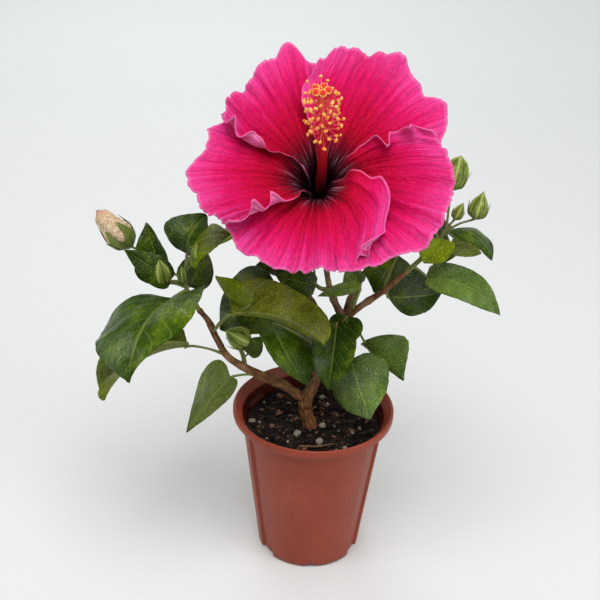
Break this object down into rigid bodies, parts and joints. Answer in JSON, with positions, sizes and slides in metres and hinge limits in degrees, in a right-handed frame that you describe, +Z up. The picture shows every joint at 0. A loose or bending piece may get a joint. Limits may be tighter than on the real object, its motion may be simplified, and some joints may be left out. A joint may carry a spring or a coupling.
{
  "type": "potted hibiscus shrub",
  "caption": "Young hibiscus shrub with an open bloom, closed buds and a spent bud, standing in a round flared nursery pot filled with peat.",
  "frame": {"origin": "middle of the pot's flat underside", "axes": "+Z up along the pot's axis, +Y to the back of the plant as pictured, +X to the right"},
  "size_m": [0.2631, 0.187, 0.3505],
  "materials": {
    "pot": "moulded, satin",
    "soil": "damp, crumbly",
    "bark": "young bark, matte",
    "stem": "green, matte",
    "leaf": "waxy",
    "petal": "satin",
    "calyx": "matte",
    "column": "matte"
  },
  "bodies": {
    "root": {"pot": "pot", "soil": "soil", "trunk": "bark", "left_bough": "bark", "right_bough": "bark", "bloom_stem": "stem", "back_left_bough": "bark", "back_right_bough": "bark", "calyx": "calyx", "column": "column", "petal_1": "petal", "petal_2": "petal", "petal_3": "petal", "petal_4": "petal", "petal_5": "petal", "left_crown_leaves": "leaf", "left_side_leaf": "leaf", "lower_left_leaf": "leaf", "left_shoot": "leaf", "centre_leaf": "leaf", "centre_back_leaf": "leaf", "front_leaves": "leaf", "low_right_leaves": "leaf", "fork_leaves": "leaf", "under_bloom_leaves": "leaf", "back_left_leaves": "leaf", "back_right_leaves": "leaf", "low_back_leaves": "leaf", "right_crown_leaves": "leaf", "right_inner_leaves": "leaf"}
  },
  "joints": []
}
